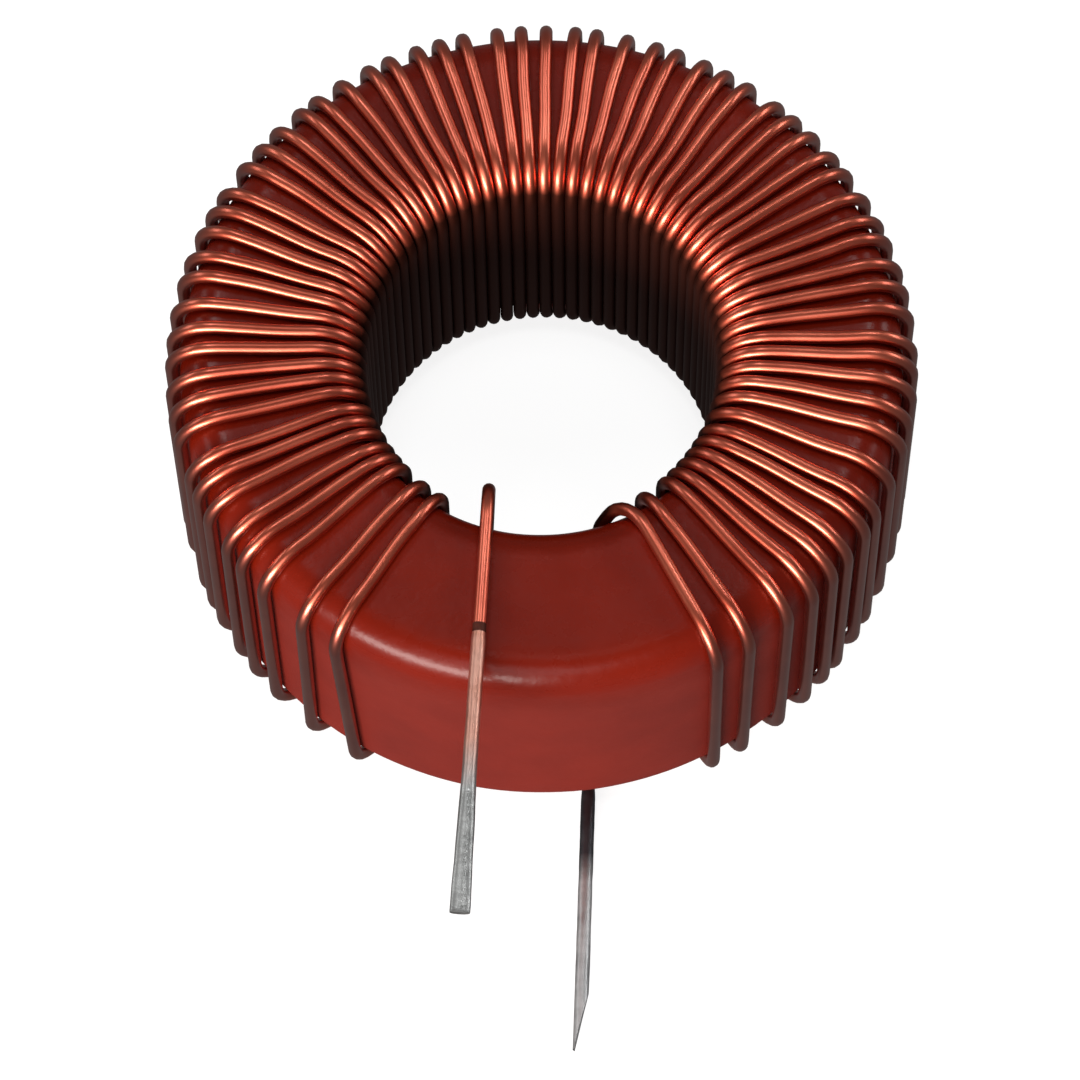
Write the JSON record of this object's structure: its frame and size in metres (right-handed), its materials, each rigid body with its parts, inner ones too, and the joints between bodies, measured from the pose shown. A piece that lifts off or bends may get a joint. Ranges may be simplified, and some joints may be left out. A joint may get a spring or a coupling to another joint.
{
  "type": "toroidal inductor",
  "caption": "Toroidal inductor: enamelled copper wire wound round a red epoxy-coated ring core, with straight tinned leads leaving side by side from a gap in the winding.",
  "frame": {"origin": "the ring's axis where it meets the plane that the wound ring rests on", "axes": "+Z along the ring's axis, away from the resting plane; -Y towards the gap in the winding and along the leads"},
  "size_m": [0.0286, 0.038, 0.0134],
  "materials": {
    "core_powder": "pressed metal powder",
    "coating": "rust red epoxy with a soft gloss",
    "magnet_wire": "copper under clear reddish enamel",
    "solder": "dull solder"
  },
  "bodies": {
    "root": {"magnetic_core": "core_powder", "core_coating": "coating", "winding": "magnet_wire", "start_lead_tinning": "solder", "finish_lead_tinning": "solder"}
  },
  "joints": []
}
